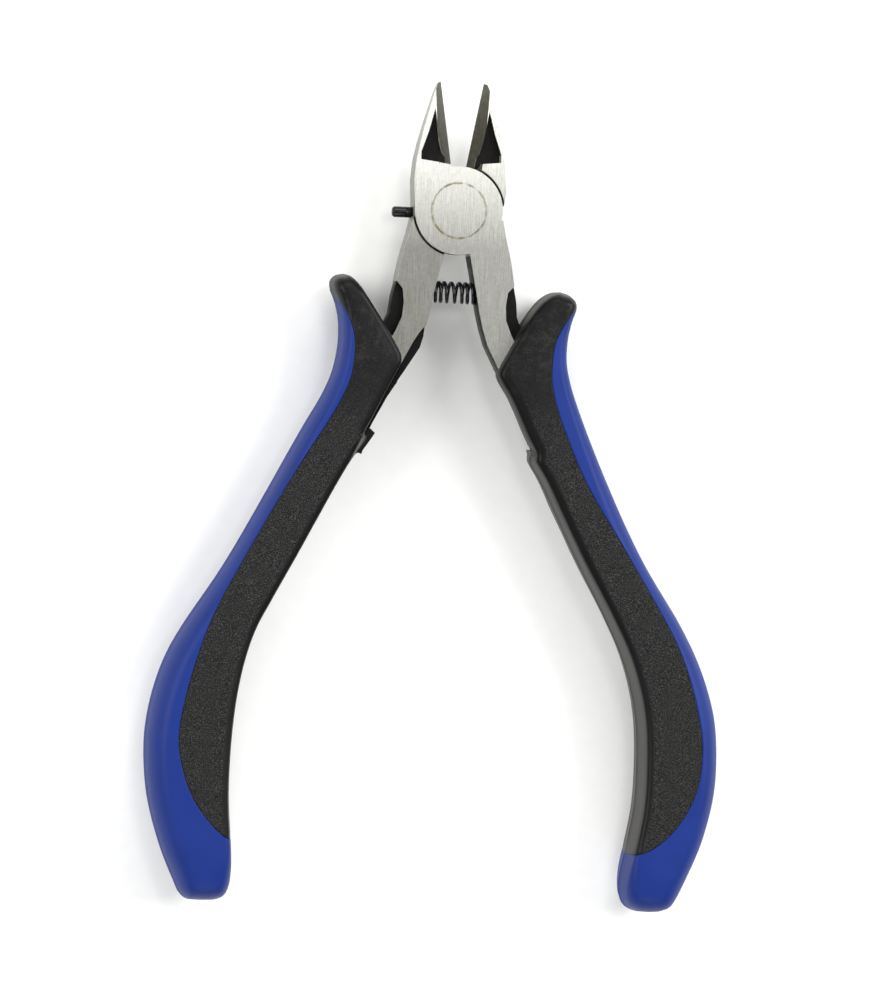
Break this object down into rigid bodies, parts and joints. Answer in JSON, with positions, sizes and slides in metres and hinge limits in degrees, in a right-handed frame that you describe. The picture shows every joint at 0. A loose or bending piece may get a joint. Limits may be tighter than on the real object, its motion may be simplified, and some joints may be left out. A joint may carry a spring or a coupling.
{
  "type": "diagonal cutting pliers",
  "caption": "Small lap-joint diagonal cutting pliers with a coil return spring, ground steel head and two-colour moulded comfort grips.",
  "frame": {"origin": "on the pivot axis, in the plane of the ground front face", "axes": "+Y to the jaw tips along the tool, +X to the right seen from the front, +Z out of the ground front face"},
  "size_m": [0.0904, 0.1289, 0.0152],
  "materials": {
    "ground_steel": "ground along the tool's length, bare",
    "rivet_steel": "ground flush with the head",
    "black_oxide_steel": "black oxide, oiled",
    "black_grip": "fine leather grain, matt",
    "blue_grip": "soft satin"
  },
  "bodies": {
    "rear_arm": {"rear_half": "ground_steel", "pivot_rivet": "rivet_steel", "stop_pin": "black_oxide_steel", "return_spring": "black_oxide_steel", "left_grip_body": "black_grip", "left_grip_cover": "blue_grip"},
    "front_arm": {"front_half": "ground_steel", "right_grip_body": "black_grip", "right_grip_cover": "blue_grip"}
  },
  "joints": [
    {"name": "pivot", "type": "hinge", "parent": "rear_arm", "child": "front_arm", "pos_m": [0, 0, 0], "axis": [0, 0, -1], "range_deg": [0, 19], "stiffness_Nm_per_rad": 0.12, "springref_deg": -51.57, "deforming": ["return_spring"]}
  ]
}
